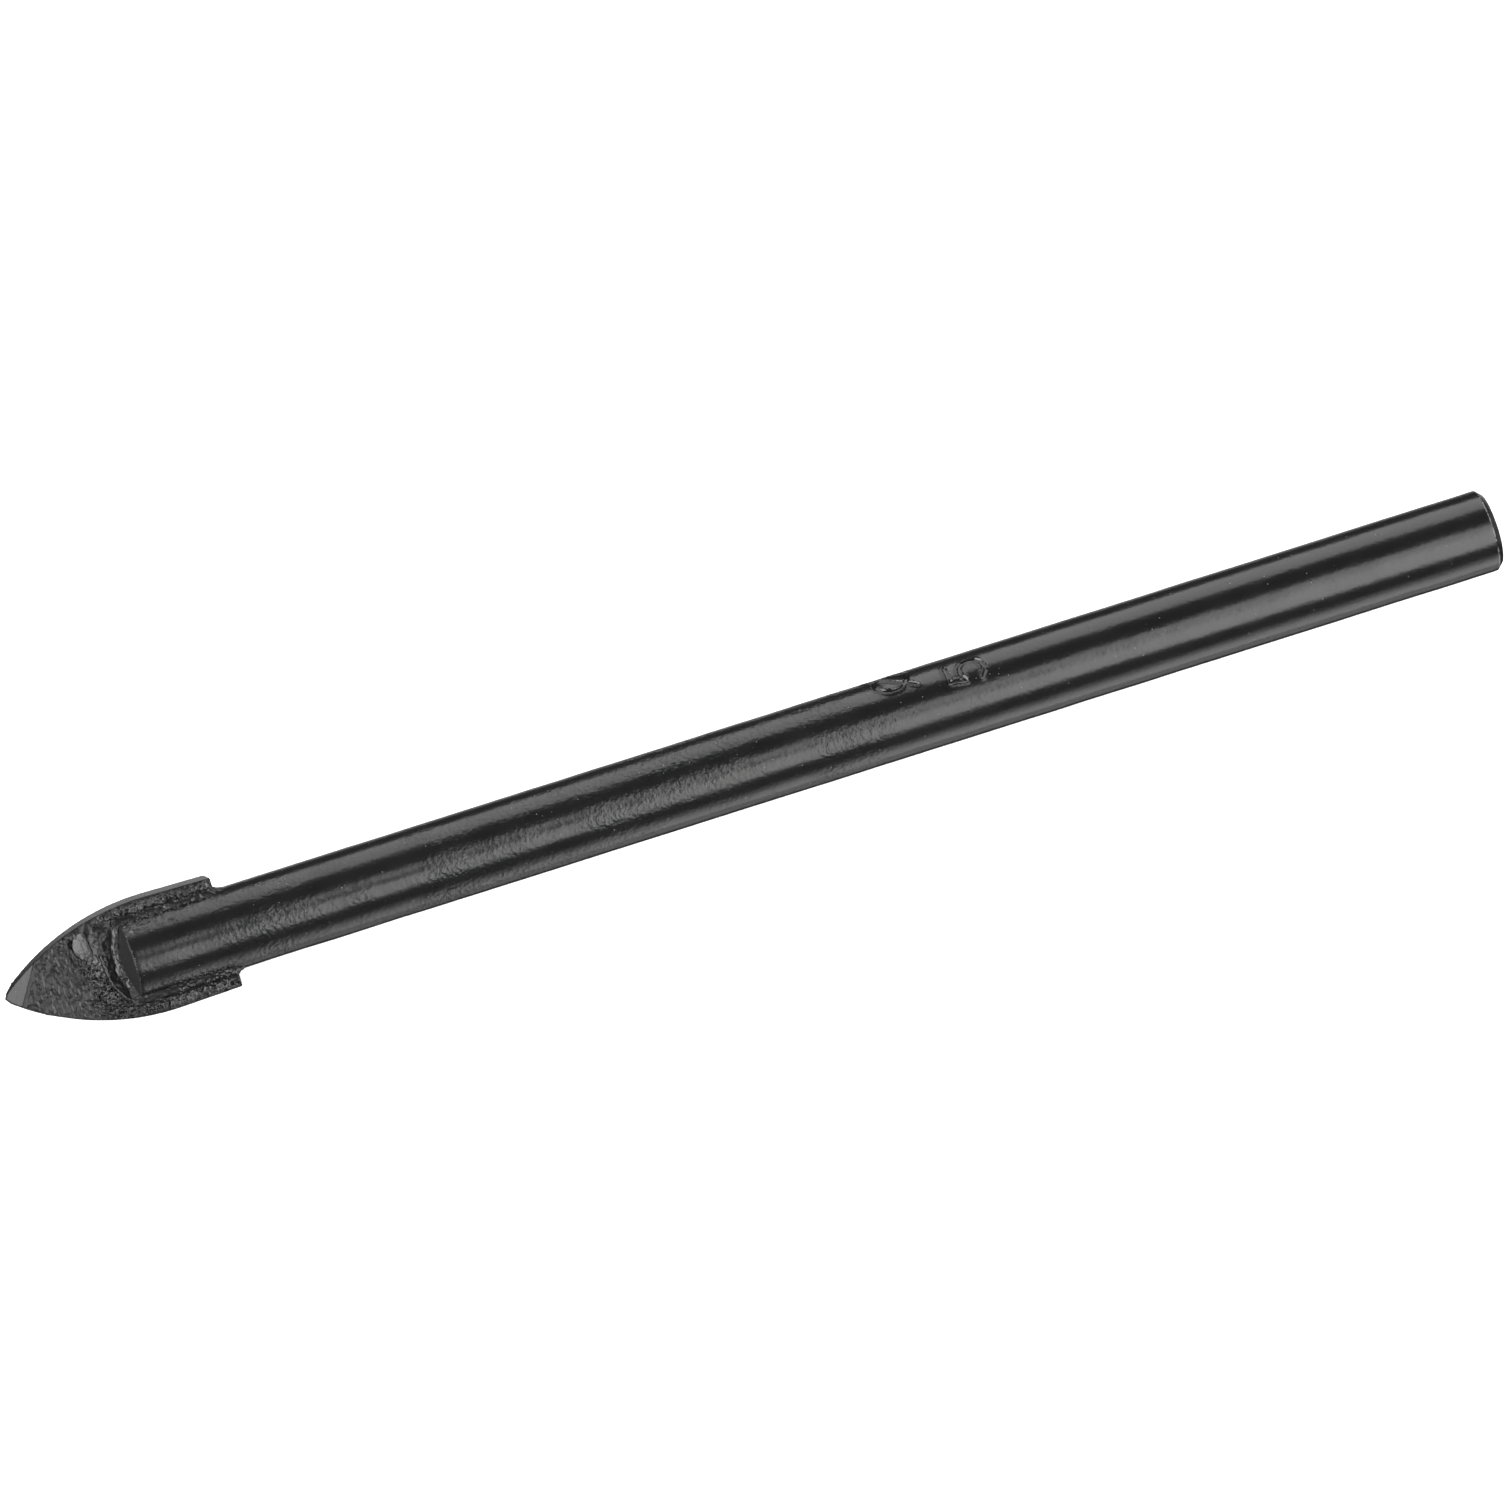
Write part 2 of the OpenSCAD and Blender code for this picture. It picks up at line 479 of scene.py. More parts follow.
# Spans over which each form fades in or out: X across the face, Z along it, IN from the face's edges inwards
FACE_IN = (0.0, 0.12)
BLADE_IN = (0.0, 0.25)
BLADE_END_Z = (3.5, 4.0)
GROUND_IN = (-0.04, 0.04)
WING_CRUST_X = (1.84, 1.95)
WING_CRUST_Z = (4.4, 5.0)
FRONT_CRUST_Z = (3.3, 3.85)
FRONT_CRUST_END_X = (0.45, 0.95)
BANK_END_X = (1.35, 1.95)
DIMPLE_X = (0.35, 0.6)
DIMPLE_END_X = (1.35, 1.6)
DIMPLE_Z = (2.98, 3.34)
DIMPLE_END_Z = (3.36, 3.5)
BURR_IN = (-0.02, 0.02)
BURR_BEHIND_FACET = (0.0, 0.10)
# The wings' crust ends at this place on the relieved side, and thins out over this width inside it
CRUST_END_X = 2.36
CRUST_THIN = 0.36
# The bank climbs to its crest over this length, and the front crust ends this far on either side of the crest
BANK_CLIMB = 0.9
CREST_BEFORE = 0.04
CREST_BEHIND = 0.05
# The crest of the bank of crust in front of the cone, and the foot of the rope behind it:
# places across the face, then along it
CREST = (
    (-1.75, -1.55, -1.25, -0.92, -0.5, 0, 0.5, 0.9, 1.3, 1.7),
    (5.05, 4.9, 4.66, 4.48, 4.33, 4.31, 4.26, 4.4, 4.45, 4.6),
)
FOOT = (
    (-1.75, -1.5, -1.25, -1.0, -0.66, -0.42, 0, 0.4, 0.83, 1.15, 1.46, 1.7),
    (5.4, 5.18, 5.05, 4.93, 4.76, 4.70, 4.74, 4.78, 4.88, 4.96, 5.06, 5.2),
)
# Waves in the borders of the front crust: the height of a wave, its rate and its start
WAVES_Z = ((0.15, 4.1, 0.7), (0.07, 9.7, 0))
WAVES_X = ((0.2, 5, 0),)
# How the streaks across the blade are stretched and turned
STREAK_STRETCH = (0.75, 0.75, 0.2)
STREAK_TURN = (0, math.radians(8), 0)


def relieved(height):
    """Radius of the relieved edge, which the grinding leaves fuller towards the point."""
    return EDGE_R - RELIEF * (POINT_RELIEF + ADDED_RELIEF * fade_in(RELIEF_SPAN, height))


def side_x(height, radius):
    """Half the plate's width at a height, where its edge is ground to this radius."""
    bend = np.minimum(height, SIDE_Z) - ARC_Z
    taper = np.maximum(height - SIDE_Z, 0) * math.tan(BACK_TAPER)
    return np.sqrt(radius ** 2 - bend ** 2) - ARC_OFFSET - taper


def face_outline():
    """The near face, from the point up its relieved side and down its cutting side."""
    corner = PLATE_LENGTH - WING_CHAMFER
    heights = [*np.linspace(0, SIDE_Z, ARC_STEPS), corner]
    up = [(side_x(z, relieved(z)), HALF_PLATE, z) for z in heights]
    rear = [(side_x(PLATE_LENGTH, relieved(PLATE_LENGTH)), HALF_PLATE, PLATE_LENGTH)]
    rear.append((WING_CHAMFER - side_x(PLATE_LENGTH, EDGE_R), HALF_PLATE, PLATE_LENGTH))
    down = [(-side_x(z, EDGE_R), HALF_PLATE, z) for z in heights[:0:-1]]
    return up + rear + down


def face_places(places):
    """Vertices as the face they lie on is seen: x across that face, and z along the axis."""
    return places[:, 0] * np.sign(places[:, 1]), places[:, 2]


def face_depth(places):
    """How far inside its face each vertex lies, in millimetres, from the edges and from the point facet."""
    x, z = face_places(places)
    sides = np.minimum(side_x(z, relieved(z)) - x, side_x(z, EDGE_R) + x)
    depth = np.minimum.reduce([sides, PLATE_LENGTH - z, facet_depth(x, z)])
    return np.where(np.abs(places[:, 1]) > HALF_PLATE - FACE_SKIN, depth, -1)


def facet_depth(x, z):
    """How far a place on the face lies behind the point facet."""
    return (z - FACET_LENGTH) * math.cos(FACET_SKEW) - x * math.sin(FACET_SKEW)


def bank(x, z):
    """The bank in front of the cone, from 0 to 1: it climbs to a crest and drops to the foot of the rope."""
    crest = np.interp(x, *CREST)
    foot = np.interp(x, *FOOT)
    drop = 1 - np.clip((z - crest) / (foot - crest), 0, 1)
    return fade_in((crest - BANK_CLIMB, crest), z) * drop * fade_out(BANK_END_X, np.abs(x))


def wing_crust(x, z):
    """The crust along both wings, from 0 to 1. It thins out at the relieved edge, where the bit rests."""
    thinned = np.clip((CRUST_END_X - x) / CRUST_THIN, 0, 1)
    return fade_in(WING_CRUST_X, np.abs(x)) * fade_in(WING_CRUST_Z, z) * thinned


def wandering(waves, places):
    """How far a border wanders at these places."""
    return sum(height * np.sin(rate * places + start) for height, rate, start in waves)


def front_crust(x, z):
    """The crust on the front of the bank, from 0 to 1, with borders that wander."""
    crest = np.interp(x, *CREST)
    at_crest = (crest - CREST_BEFORE, crest + CREST_BEHIND)
    front = fade_in(FRONT_CRUST_Z, z + wandering(WAVES_Z, x)) * fade_out(at_crest, z)
    return front * fade_out(FRONT_CRUST_END_X, x + wandering(WAVES_X, z))


def grind_facets(plate):
    """Cuts the two skewed facets at the point."""
    slope = math.atan((HALF_PLATE - POINT_WEB / 2) / (FACET_LENGTH * math.cos(FACET_SKEW)))
    lean = math.sin(slope)
    for side in (1, -1):
        place = (0, side * HALF_PLATE, FACET_LENGTH)
        facing = (side * lean * math.sin(FACET_SKEW), side * math.cos(slope), -lean * math.cos(FACET_SKEW))
        with editing(plate):
            bpy.ops.mesh.bisect(plane_co=place, plane_no=facing, use_fill=True, clear_outer=True)


def make_plate():
    """The spear plate: two faces half a turn apart, joined by their edges, with lumps, streaks and crust."""
    near = drawn_line("spear_plate", face_outline(), closed=True)
    far = turned_half_way(near, "far face")
    plate = joined("spear_plate", [near, far])
    with editing(plate):
        bpy.ops.mesh.bridge_edge_loops()
        face_outwards()
    grind_facets(plate)
    apply_modifier(plate, "REMESH", mode="VOXEL", voxel_size=PLATE_VOXEL)
    places = coordinates(plate)
    x, z = face_places(places)
    depth = face_depth(places)
    inside = fade_in(FACE_IN, depth)
    on_wings = wing_crust(x, z)
    grain = inside * np.maximum(on_wings, front_crust(x, z))
    face = weighted(plate, "face", inside)
    blade = weighted(plate, "blade", fade_in(BLADE_IN, depth) * fade_out(BLADE_END_Z, z))
    crust = weighted(plate, "crust", grain)
    dimple = fade_in(DIMPLE_X, x) * fade_out(DIMPLE_END_X, x) * fade_in(DIMPLE_Z, z)
    burr = fade_out(BURR_BEHIND_FACET, facet_depth(x, z)) * fade_in(BURR_IN, depth)
    for name, weights, height in (
        ("wing step", inside * on_wings, WING_STEP),
        ("bank", inside * bank(x, z), BANK_HEIGHT),
        ("dimple", inside * dimple * fade_out(DIMPLE_END_Z, z), -DIMPLE_DEPTH),
        ("facet burr", burr, BURR_HEIGHT),
    ):
        raised(plate, weighted(plate, name, weights), height)
    across = texture_stretcher(STREAK_STRETCH, STREAK_TURN)
    roughen(plate, clouds("pressed lumps", size=0.4, depth=2), height=0.10, group=face)
    roughen(plate, clouds("cross streaks", size=0.6, depth=2), height=0.14, group=blade, stretcher=across)
    roughen(plate, grains("crust grains", size=0.13), height=0.16, group=crust)
    roughen(plate, clouds("crust pits", size=0.1, depth=2, hard=True), height=0.12, group=crust, middle=0.6)
    roughen(plate, clouds("skin", size=0.09, depth=1), height=0.03, group=face)
    noted(plate, "ground", fade_out(GROUND_IN, depth))
    noted(plate, "grain", grain)
    remove(across)
    only(plate)
    bpy.ops.object.shade_smooth()
    return plate


# Braze

BRAZE_VOXEL = 0.031
# Paths on the near face: x across the plate, z along the axis, and the radius there
ROPE = [
    (1.6, 5.36, 0.16), (1.46, 5.3, 0.25), (1.15, 5.2, 0.26), (0.83, 5.11, 0.26), (0.62, 5.04, 0.32),
    (0.4, 5.02, 0.29), (0, 4.99, 0.29), (-0.42, 4.98, 0.31), (-0.66, 4.99, 0.26),
]
ROPE_FLAT = 0.55
LOWER_ROPE = [
    (-0.78, 5.02, 0.12), (-1.0, 5.1, 0.17), (-1.25, 5.22, 0.17), (-1.5, 5.35, 0.16), (-1.68, 5.46, 0.12),
]
LOWER_ROPE_FLAT = 0.6
# The bed lies this far behind both ropes
BED_BACK = 0.14
BED_R = 0.12
THIN_RIDGE = [
    (0.6, 4.25, 0.05), (0.3, 4.26, 0.08), (0, 4.29, 0.09), (-0.3, 4.31, 0.085), (-0.5, 4.32, 0.06),
    (-0.75, 4.4, 0.07), (-0.92, 4.47, 0.065), (-1.25, 4.65, 0.07), (-1.42, 4.77, 0.07), (-1.55, 4.89, 0.05),
]
RIDGE_LIFT = BANK_HEIGHT + 0.05
SHOULDER_RIDGE = [(2.12, 9.42, 0.05), (1.95, 9.5, 0.06), (1.78, 9.6, 0.07), (1.66, 9.68, 0.07)]
WING_LIFT = 0.08
# Seam along a cheek: its front, its slope, its section as places out from the cheek's corner and up from
# the plate's face, and where its slope meets that face
SEAM_FRONT = 5.1
SEAM_SLOPE = 0.42
SEAM_SECTION = ((-0.15, -0.06), (0.25, -0.05), (0.25, 0.0), (-0.09, 0.34 * SEAM_SLOPE))
SEAM_FOOT_X = 1.87
# Half-moon flake, and the plane where it is broken off
MOON_PLACE = (1.13, HALF_PLATE + 0.07, 3.78)
MOON_SIZE = (0.62, 0.09, 0.57)
MOON_TURN = (math.radians(-15), 0, 0)
MOON_BREAK = (1.15, 0, 3.92)
MOON_BREAK_FACING = (0.08, 0, 1)
# Fillet behind a wing: up the wing's rear, along the shank, over the wing, and past the plate's two faces
HEEL_RISE = 0.43
HEEL_RUN = 0.62
HEEL_LAP = 0.1
HEEL_PAST = 0.03
HEEL_STEPS = 12
HEEL_TURN_STEPS = 16
# Filler inside the slot: its front, and how far it stays inside the round of the shank
FILL_FRONT = 5.0
FILL_INSET = 0.17
# Granules on the crust in front of the cone. Beyond the bend they lie further back.
FRONT_COUNT = 300
FRONT_X = (-1.6, 0.7)
FRONT_Z = 3.95
FRONT_SPREAD = 0.24
FRONT_BEND_X = -0.4
FRONT_SLOPE = 0.25
FINE_RADIUS = (0.03, 0.06)
# Granules on the wings: the side, then the range of places out from the axis and along it
WING_COUNT = 190
WING_PATCHES = ((1, (1.9, 2.22), (4.9, 9.5)), (-1, (1.96, 2.36), (6.5, 9.5)))
WING_RADIUS = (0.035, 0.09)
# Granules further out than this lie on a wing
WING_X = 1.9
# Granules stay under a slope that starts at this place beside the relieved edge
REST_X = 2.33
REST_SLOPE = 0.6
# A granule's width, length and height as shares of its radius, and how far it is turned
GRANULE_WIDE = (0.8, 1.5)
GRANULE_LONG = (0.7, 1.2)
GRANULE_HIGH = 1.2
GRANULE_TURN = (-0.6, 0.6)
# Granules on the seams: the side and the count
SEAM_PATCHES = ((-1, 90), (1, 24))
SEAM_X = (1.56, 1.84)
SEAM_Z = (7.0, 9.6)
# Granules on the cheeks: the count, the range across, where they crowd, how far they reach from there,
# how strongly they crowd, and the range of radius
CHEEK_PATCHES = (
    (80, (1.46, 1.62), 5.6, 4.0, 1.3, (0.025, 0.055)),
    (120, (-1.66, -1.38), 9.6, -2.9, 1.2, (0.03, 0.06)),
)
CHEEK_LONG = 1.3
# Burr, blob, smears and granules on the near cheek. The smears' heights are where they crowd, how far they
# reach from there and how strongly they crowd.
RIM_BURR_X = np.linspace(0.9, -0.5, 12)
RIM_BURR_R = 0.045
RIM_BURR_LIFT = 0.01
BLOB_PLACE = (1.12, 5.7)
BLOB_SIZE = (0.18, 0.06, 0.14)
BLOB_TURN = (math.radians(-25), 0, 0)
SMEAR_COUNT = 70
SMEAR_X = (1.0, 1.68)
SMEAR_Z = (5.5, 2.2, 1.6)
SMEAR_LONG = (0.04, 0.12)
SMEAR_WIDE = 0.7
SMEAR_HIGH = 0.05
RIM_COUNT = 26
RIM_X = (-1.3, 1.3)
RIM_RISE = (0, 0.05)
RIM_GRANULE_R = (0.025, 0.05)
# Spans of the smoother places, the seams and the flake, and the share of roughness that they lose
SEAM_FROM_X = (1.5, 1.56)
SEAM_END_X = (1.86, 1.94)
SEAM_FROM_Z = (5.2, 5.4)
MOON_FROM_X = (0.4, 0.5)
MOON_END_X = (1.75, 1.8)
MOON_END_Z = (3.9, 4.0)
SMOOTHED = 0.6
# A seam counts from this far under the plate's face
FACE_SLACK = 0.02
# Seeds of the random draws
FACE_SEED = 3
CHEEK_SEED = 11


def face_rope(name, path, lift=0.0, flat=1.0):
    """A rope of filler that lies on the near face, flattened towards it."""
    rope = tube(name, [(x, 0, z) for x, z, _ in path], [radius for _, _, radius in path])
    rope.scale = (1, flat, 1)
    rope.location = (0, HALF_PLATE + lift, 0)
    settle()
    return rope


def cheek_place(x, height, lift=0.0):
    """A place on the near cheek of the shank."""
    radius = RIM_R + lift
    return (x, math.sqrt(radius ** 2 - x ** 2), height)


def cheek_seam(side):
    """The sloped fillet along one cheek, down to the plate."""
    corner = math.sqrt(RIM_R ** 2 - HALF_PLATE ** 2)
    section = [(side * (corner + out), HALF_PLATE + up, SEAM_FRONT) for out, up in SEAM_SECTION]
    seam = drawn_line("seam", section, closed=True)
    with editing(seam):
        run = (0, 0, SLOT_BOTTOM - SEAM_FRONT)
        bpy.ops.mesh.extrude_region_move(TRANSFORM_OT_translate={"value": run})
        face_outwards()
    return seam


def half_moon():
    """A flake of filler that leans back towards the cone, broken off straight at its rear."""
    flake = lump("half moon", MOON_PLACE, MOON_SIZE, MOON_TURN, rings=4)
    with editing(flake):
        bpy.ops.mesh.bisect(
            plane_co=MOON_BREAK, plane_no=MOON_BREAK_FACING, use_fill=True, clear_outer=True,
        )
    return flake


def crowded(draw, start, reach, power):
    """A random place between a start and its reach, nearer the start with a higher power."""
    return start + reach * draw.random() ** power


def face_granules(grain, draw):
    """Granules of filler on the near face: in front of the cone and along both wings."""
    blobs = []
    for _ in range(FRONT_COUNT):
        x = draw.uniform(*FRONT_X)
        z = draw.gauss(FRONT_Z, FRONT_SPREAD) + FRONT_SLOPE * max(FRONT_BEND_X - x, 0)
        blobs.append((x, z, draw.uniform(*FINE_RADIUS)))
    for side, out, along in WING_PATCHES:
        for _ in range(WING_COUNT):
            x = side * draw.uniform(*out)
            z = draw.uniform(*along)
            blobs.append((x, z, draw.uniform(*WING_RADIUS)))
    made = []
    for x, z, radius in blobs:
        wide = radius * draw.uniform(*GRANULE_WIDE)
        high = radius * GRANULE_HIGH
        long = radius * draw.uniform(*GRANULE_LONG)
        lift = WING_LIFT if abs(x) > WING_X else BANK_HEIGHT * bank(x, z)
        # Nothing stands proud beside the relieved edge, where the bit rests
        lift = min(lift, REST_SLOPE * (REST_X - x) - high)
        turn = (0, draw.uniform(*GRANULE_TURN), 0)
        made.append(copied(grain, (x, HALF_PLATE + lift, z), (wide, high, long), turn))
    return made


def seam_granules(grain, draw):
    """Granules of filler on the two seams of the near face."""
    made = []
    for side, count in SEAM_PATCHES:
        for _ in range(count):
            x = draw.uniform(*SEAM_X)
            z = draw.uniform(*SEAM_Z)
            radius = draw.uniform(*FINE_RADIUS)
            place = (side * x, HALF_PLATE + SEAM_SLOPE * (SEAM_FOOT_X - x), z)
            made.append(copied(grain, place, (radius, radius * GRANULE_HIGH, radius)))
    return made


def cheek_granules(grain, draw):
    """Granules of filler at the two sides of a cheek."""
    made = []
    for count, across, start, reach, power, radii in CHEEK_PATCHES:
        for _ in range(count):
            x = draw.uniform(*across)
            z = crowded(draw, start, reach, power)
            radius = draw.uniform(*radii)
            made.append(copied(grain, cheek_place(x, z), (radius, radius, radius * CHEEK_LONG)))
    return made


def near_cheek_filler(grain):
    """The rim's burr and granules, a blob and smears. The far cheek faces the floor and has none of them."""
    burr = [cheek_place(x, RIM_Z - RIM_BURR_LIFT, RIM_BURR_LIFT) for x in RIM_BURR_X]
    made = [
        tube("rim burr", burr, [RIM_BURR_R] * len(burr)),
        lump("cheek blob", cheek_place(*BLOB_PLACE), BLOB_SIZE, BLOB_TURN, rings=3),
    ]
    draw = random.Random(CHEEK_SEED)
    for _ in range(SMEAR_COUNT):
        x = draw.uniform(*SMEAR_X)
        z = crowded(draw, *SMEAR_Z)
        long = draw.uniform(*SMEAR_LONG)
        turn = (0, 0, -math.asin(x / RIM_R))
        made.append(copied(grain, cheek_place(x, z), (long * SMEAR_WIDE, SMEAR_HIGH, long), turn))
    for _ in range(RIM_COUNT):
        x = draw.uniform(*RIM_X)
        radius = draw.uniform(*RIM_GRANULE_R)
        place = cheek_place(x, RIM_Z + draw.uniform(*RIM_RISE))
        made.append(copied(grain, place, (radius, radius, radius)))
    return made


def wing_heel(side):
    """The hollow fillet behind one wing, down to the shank and round it."""
    foot = RIM_R
    top = SHANK_R + HEEL_RISE
    low = PLATE_LENGTH - HEEL_LAP
    high = PLATE_LENGTH + HEEL_RUN
    reach = math.asin((HALF_PLATE + HEEL_PAST) / SHANK_R)
    sweep = np.linspace(0, math.pi / 2, HEEL_STEPS)
    hollow = [(top - (top - foot) * math.sin(a), high - (high - low) * math.cos(a)) for a in sweep]
    start = Matrix.Rotation(reach, 3, "Z")
    section = [start @ Vector((side * r, 0, z)) for r, z in [(foot, low), *hollow]]
    heel = drawn_line("heel", section, closed=True)
    with editing(heel):
        bpy.ops.mesh.spin(steps=HEEL_TURN_STEPS, angle=2 * reach, center=(0, 0, 0), axis=(0, 0, 1))
        face_outwards()
    return heel


def slot_fill():
    """The filler inside the slot, round the plate."""
    size = (2 * (SHANK_R - FILL_INSET), 2 * (HALF_PLATE + BRAZE_GAP), SLOT_BOTTOM - FILL_FRONT)
    fill = block("slot fill", size, (0, 0, (FILL_FRONT + SLOT_BOTTOM) / 2))
    cut_away(fill, block("core", (4 * SHANK_R, 2 * HALF_PLATE, 2 * PLATE_LENGTH)))
    return fill


def make_braze():
    """The filler metal: ropes, seams, heels and granules melted into one skin, and the fill of the slot."""
    near = [
        face_rope("rope", ROPE, flat=ROPE_FLAT),
        face_rope("lower rope", LOWER_ROPE, flat=LOWER_ROPE_FLAT),
        face_rope("ridge", THIN_RIDGE, lift=RIDGE_LIFT),
        face_rope("shoulder ridge", SHOULDER_RIDGE, lift=WING_LIFT),
        cheek_seam(1),
        cheek_seam(-1),
        face_rope("bed", [(x, z + BED_BACK, BED_R) for x, z, _ in ROPE + LOWER_ROPE]),
        half_moon(),
    ]
    grain = lump("granule", (0, 0, 0), (1, 1, 1))
    draw = random.Random(FACE_SEED)
    near += face_granules(grain, draw)
    near += seam_granules(grain, draw)
    near += cheek_granules(grain, draw)
    near = joined("near braze", near)
    far = turned_half_way(near, "far braze")
    on_cheek = near_cheek_filler(grain)
    remove(grain)
    heels = [wing_heel(1), wing_heel(-1)]
    skin = joined("braze_filler", [near, far, *on_cheek, *heels])
    apply_modifier(skin, "REMESH", mode="VOXEL", voxel_size=BRAZE_VOXEL)
    x, y, z = np.abs(coordinates(skin)).T
    in_seam = fade_in(SEAM_FROM_X, x) * fade_out(SEAM_END_X, x) * fade_in(SEAM_FROM_Z, z)
    in_moon = fade_in(MOON_FROM_X, x) * fade_out(MOON_END_X, x) * fade_out(MOON_END_Z, z)
    smoother = np.maximum(in_seam * (y > HALF_PLATE - FACE_SLACK), in_moon)
    rough = weighted(skin, "rough", 1 - SMOOTHED * smoother)
    roughen(skin, clouds("filler lumps", size=0.25, depth=2), height=0.05, group=rough)
    roughen(skin, grains("filler grains", size=0.1), height=0.03, group=rough)
    only(skin)
    bpy.ops.object.shade_smooth()
    return joined("braze_filler", [skin, slot_fill()])


# Finishes

# The grain of the shank fades out over these heights
GRAIN_END_Z = (34, 46)
# The wear on the butt's edge fades out over this distance from it
WEAR_SPAN = (0.01, 0.045)
# The full part of a speck, as a share of its size
SPECK_CORE = 0.6


class Wire:
    """A node's output, whose arithmetic adds Math nodes."""

    def __init__(self, finish, socket):
        self.finish = finish
        self.socket = socket

    def math(self, operation, *terms):
        return self.finish.node("ShaderNodeMath", {"operation": operation}, dict(enumerate(terms)))

    def __add__(self, other):
        return self.math("ADD", self, other)

    def __sub__(self, other):
        return self.math("SUBTRACT", self, other)

    def __rsub__(self, other):
        return self.math("SUBTRACT", other, self)

    def __mul__(self, other):
        return self.math("MULTIPLY", self, other)

    def __abs__(self):
        return self.math("ABSOLUTE", self)

    __radd__ = __add__
    __rmul__ = __mul__

    def between(self, low, high):
        """0 below low, 1 above high, and smooth between them."""
        inputs = {"Value": self, "From Min": low, "From Max": high}
        return self.finish.node("ShaderNodeMapRange", {"interpolation_type": "SMOOTHSTEP"}, inputs)


class Finish:
    """A material and the nodes that make it."""

    def __init__(self, name):
        self.material = bpy.data.materials.new(name)
        self.material.use_nodes = True
        self.nodes = self.material.node_tree.nodes
        self.links = self.material.node_tree.links
        self.shader = next(n for n in self.nodes if n.type == "BSDF_PRINCIPLED")
        seen = self.node("ShaderNodeTexCoord", out="Object")
        # Back to the upright bit, in millimetres
        self.place = self.node("ShaderNodeMapping", {"vector_type": "TEXTURE"}, {
            "Vector": seen, "Location": LAID_PLACE, "Rotation": LAID_TURN.to_euler(), "Scale": (MM, MM, MM),
        })

    def node(self, kind, settings=None, inputs=None, out=0):
        """Adds a node: its settings first, then the values and links of its sockets."""
        made = self.nodes.new(kind)
        for name, value in (settings or {}).items():
            setattr(made, name, value)
        for name, value in (inputs or {}).items():
            self.feed(made.inputs[name], value)
        return Wire(self, made.outputs[out])

    def feed(self, socket, value):
        if isinstance(value, Wire):
            self.links.new(value.socket, socket)
        else:
            socket.default_value = value

    def noise(self, per_mm, detail=3, stretch=None):
        """Cloudy noise, with this many lumps to the millimetre."""
        vector = self.place
        if stretch:
            inputs = {"Vector": vector, "Scale": stretch}
            vector = self.node("ShaderNodeMapping", {"vector_type": "POINT"}, inputs)
        return self.node("ShaderNodeTexNoise", None, {"Vector": vector, "Scale": per_mm, "Detail": detail})

    def note(self, name):
        """A number that the piece keeps for each vertex."""
        return self.node("ShaderNodeAttribute", {"attribute_name": name}, out="Fac")

    def specks(self, per_mm, size):
        """Small dots, scattered with this many cells to the millimetre."""
        cell = self.node("ShaderNodeTexVoronoi", None, {"Vector": self.place, "Scale": per_mm}, "Distance")
        return 1 - cell.between(size * SPECK_CORE, size)

    def mixed(self, share, first, second):
        """A colour between two colours."""
        inputs = {"Factor": share, 6: first, 7: second}
        return self.node("ShaderNodeMix", {"data_type": "RGBA"}, inputs, 2)

    def bumped(self, height, strength, depth):
        """Small relief, with its depth in millimetres."""
        inputs = {"Height": height, "Strength": strength, "Distance": depth * MM}
        return self.node("ShaderNodeBump", None, inputs)

    def done(self, colour, roughness, normal, **constants):
        self.feed(self.shader.inputs["Base Color"], colour)
        self.feed(self.shader.inputs["Roughness"], roughness)
        self.feed(self.shader.inputs["Normal"], normal)
        for name, value in constants.items():
            self.shader.inputs[name.replace("_", " ")].default_value = value
        return self.material


def grey(value, warm=0.0):
    return (value * (1 + warm), value, value * (1 - warm), 1)


def black_steel():
    """Black steel: grainy in patches, dull on the cone, burnished at the mark, worn at the butt's edge."""
    finish = Finish("black_steel")
    cloudy = finish.noise(per_mm=0.8)
    fine = finish.noise(per_mm=9)
    dust_and_glints = finish.specks(per_mm=3.2, size=0.10)
    grain = finish.noise(per_mm=6, detail=2)
    cone = finish.note("cone")
    burnished = finish.note("mark").between(0.1, 0.5)
    height = finish.node("ShaderNodeSeparateXYZ", None, {"Vector": finish.place}, "Z")
    patchy = finish.noise(per_mm=0.3, detail=2).between(0.36, 0.7) * (1 - height.between(*GRAIN_END_Z))
    worn = 1 - abs(height - (BIT_LENGTH - BUTT_CHAMFER)).between(*WEAR_SPAN)
    colour = finish.mixed(cloudy, grey(0.004), grey(0.007))
    colour = finish.mixed(cone, colour, grey(0.009))
    colour = finish.mixed(worn * fine.between(0.42, 0.6), colour, grey(0.12))
    colour = finish.mixed(dust_and_glints * fine.between(0.5, 0.6), colour, grey(0.10))
    roughness = 0.15 + 0.08 * cloudy + 0.06 * fine + 0.35 * cone - 0.13 * burnished
    normal = finish.bumped(grain * (0.2 + 0.8 * patchy) + dust_and_glints * 0.05, strength=0.5, depth=0.06)
    return finish.done(colour, roughness, normal)


def black_carbide():
    """Blackened carbide: streaked, and shinier where it is ground or crusted."""
    finish = Finish("black_carbide")
    cloudy = finish.noise(per_mm=1.4)
    fine = finish.noise(per_mm=14)
    dust_and_glints = finish.specks(per_mm=4.5, size=0.12)
    ground = finish.note("ground")
    grain = finish.note("grain")
    streak = finish.noise(per_mm=7, detail=4, stretch=(0.35, 1, 1))
    colour = finish.mixed(streak.between(0.35, 0.65), grey(0.002), grey(0.007))
    # Light specks in the colour: grey dust, and painted glints
    colour = finish.mixed(dust_and_glints * fine.between(0.45, 0.6), colour, grey(0.12))
    roughness = 0.24 + 0.08 * cloudy + 0.10 * streak - 0.04 * ground - 0.06 * grain
    normal = finish.bumped(streak + fine * (0.4 + 1.6 * grain) + dust_and_glints * 0.3, strength=0.8, depth=0.012)
    return finish.done(colour, roughness, normal, Specular_IOR_Level=0.35)


